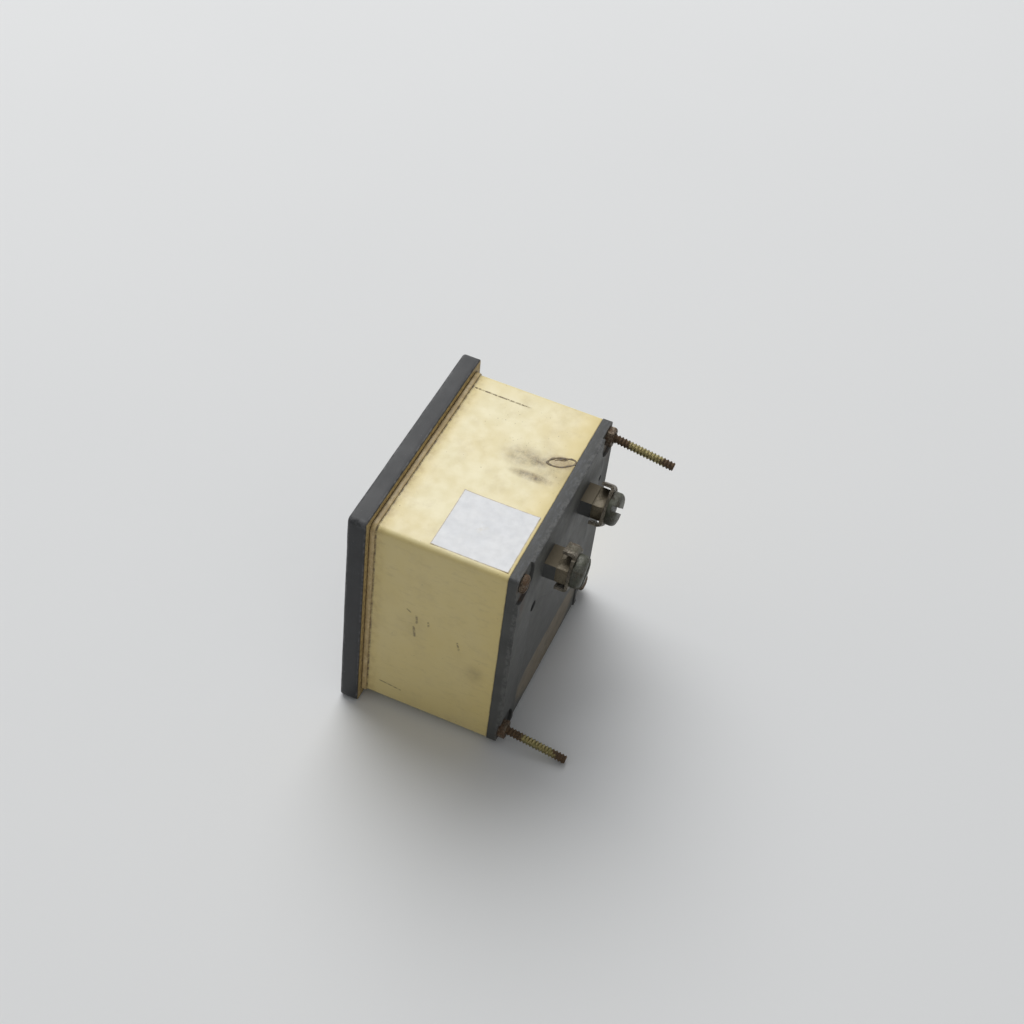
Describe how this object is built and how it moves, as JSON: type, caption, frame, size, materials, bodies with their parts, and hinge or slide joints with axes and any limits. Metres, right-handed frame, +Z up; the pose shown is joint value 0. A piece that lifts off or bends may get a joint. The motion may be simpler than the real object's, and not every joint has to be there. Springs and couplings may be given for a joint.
{
  "type": "analog panel meter",
  "caption": "Square analog panel meter: dark bezel, cream box case and a rear plate with clamp terminals and mounting studs, round a pivoted moving-coil movement.",
  "frame": {"origin": "middle of the bezel's rear face, which seats on the panel", "axes": "front of the meter faces -Y, terminals and studs face +Y, +Z is up, +X is right seen from the front"},
  "size_m": [0.08, 0.0749, 0.08],
  "materials": {
    "bezel_plastic": "satin, scuffed",
    "clear_glass": "clear",
    "seal_cord": "matte, perished",
    "cream_case": "satin, yellowed",
    "rear_phenolic": "matte, scuffed",
    "label_paper": "satin",
    "stud_steel": "dull, yellow passivated, rusty",
    "rusty_steel": "rusty",
    "terminal_brass": "tarnished",
    "clamp_steel": "dull, corroded",
    "terminal_screw_steel": "dull, corroded",
    "tinned_lug": "tinned",
    "resistor_ceramic": "matte",
    "copper_lead": "tinned copper",
    "red_wire": "satin",
    "blue_wire": "satin",
    "frame_brass": "satin",
    "small_screw_steel": "satin",
    "yoke_iron": "ground",
    "magnet_alloy": "ground",
    "coil_aluminium": "satin",
    "coil_copper": "enamelled copper",
    "pivot_steel": "polished",
    "spring_bronze": "satin",
    "pointer_aluminium": "matt black paint",
    "weight_brass": "satin",
    "dial_white": "white paint"
  },
  "bodies": {
    "meter_case": {"front_bezel": "bezel_plastic", "window_glass": "clear_glass", "seal_strip": "seal_cord", "case_shell": "cream_case", "rear_plate": "rear_phenolic", "blank_label": "label_paper", "upper_mounting_stud": "stud_steel", "lower_mounting_stud": "stud_steel", "upper_stud_nut": "rusty_steel", "lower_stud_nut": "rusty_steel", "upper_case_screw": "rusty_steel", "lower_case_screw": "rusty_steel", "terminal_post_left": "terminal_brass", "terminal_post_right": "terminal_brass", "terminal_nut_left": "terminal_brass", "terminal_nut_right": "terminal_brass", "solder_lug_left": "tinned_lug", "solder_lug_right": "tinned_lug", "shunt_resistor": "resistor_ceramic", "shunt_lead_left": "copper_lead", "shunt_lead_right": "copper_lead", "hookup_wire_left": "red_wire", "hookup_wire_right": "blue_wire", "chassis_plate": "frame_brass", "chassis_screws": "small_screw_steel", "yoke_ring": "yoke_iron", "core_magnet": "magnet_alloy", "front_core_bracket": "frame_brass", "rear_core_bracket": "frame_brass", "front_spacers": "frame_brass", "rear_spacers": "frame_brass", "tie_screws": "small_screw_steel", "front_bridge": "frame_brass", "front_jewel_screw": "frame_brass", "rear_jewel_screw": "frame_brass", "front_hairspring": "spring_bronze", "rear_hairspring": "spring_bronze", "rear_spring_post": "frame_brass", "dial_plate": "dial_white", "dial_pillars": "frame_brass", "dial_screws": "small_screw_steel", "pointer_stops": "small_screw_steel"},
    "moving_coil": {"coil_former": "coil_aluminium", "coil_winding": "coil_copper", "front_pivot": "pivot_steel", "rear_pivot": "pivot_steel", "pointer": "pointer_aluminium", "balance_weights": "weight_brass"},
    "zero_lever": {"zero_lever": "frame_brass"},
    "zero_adjuster": {"zero_adjuster": "bezel_plastic", "adjuster_clip": "small_screw_steel"},
    "clamp_left": {"clamp_washer_left": "clamp_steel"},
    "clamp_right": {"clamp_washer_right": "clamp_steel"},
    "screw_left": {"terminal_screw_left": "terminal_screw_steel"},
    "screw_right": {"terminal_screw_right": "terminal_screw_steel"}
  },
  "joints": [
    {"name": "pointer_swing", "type": "hinge", "parent": "meter_case", "child": "moving_coil", "pos_m": [0, 0, -0.019], "axis": [0, 1, 0], "range_deg": [-3, 93], "stiffness_Nm_per_rad": 0.00003, "deforming": ["front_hairspring", "rear_hairspring"]},
    {"name": "zero_adjuster_turn", "type": "hinge", "parent": "meter_case", "child": "zero_adjuster", "pos_m": [0, 0, -0.0275], "axis": [0, 1, 0], "range_deg": [-30, 30]},
    {"name": "zero_lever_turn", "type": "hinge", "parent": "meter_case", "child": "zero_lever", "pos_m": [0, 0, -0.019], "axis": [0, 1, 0], "range_deg": [-5, 5]},
    {"name": "terminal_clamp_left_lift", "type": "slide", "parent": "meter_case", "child": "clamp_left", "axis": [0, 1, 0], "range_m": [0, 0.0021]},
    {"name": "terminal_screw_left_turn", "type": "hinge", "parent": "clamp_left", "child": "screw_left", "pos_m": [-0.0141, 0.0536, 0.0245], "axis": [0, 1, 0], "range_deg": [0, 1080]},
    {"name": "terminal_clamp_right_lift", "type": "slide", "parent": "meter_case", "child": "clamp_right", "axis": [0, 1, 0], "range_m": [0, 0.0021]},
    {"name": "terminal_screw_right_turn", "type": "hinge", "parent": "clamp_right", "child": "screw_right", "pos_m": [0.0141, 0.0536, 0.0245], "axis": [0, 1, 0], "range_deg": [0, 1080]}
  ],
  "couplings": [
    {"joint": "zero_lever_turn", "follows": "zero_adjuster_turn", "ratio": 0.15},
    {"joint": "terminal_screw_left_turn", "follows": "terminal_clamp_left_lift", "rad_per_m": 8976},
    {"joint": "terminal_screw_right_turn", "follows": "terminal_clamp_right_lift", "rad_per_m": 8976}
  ]
}
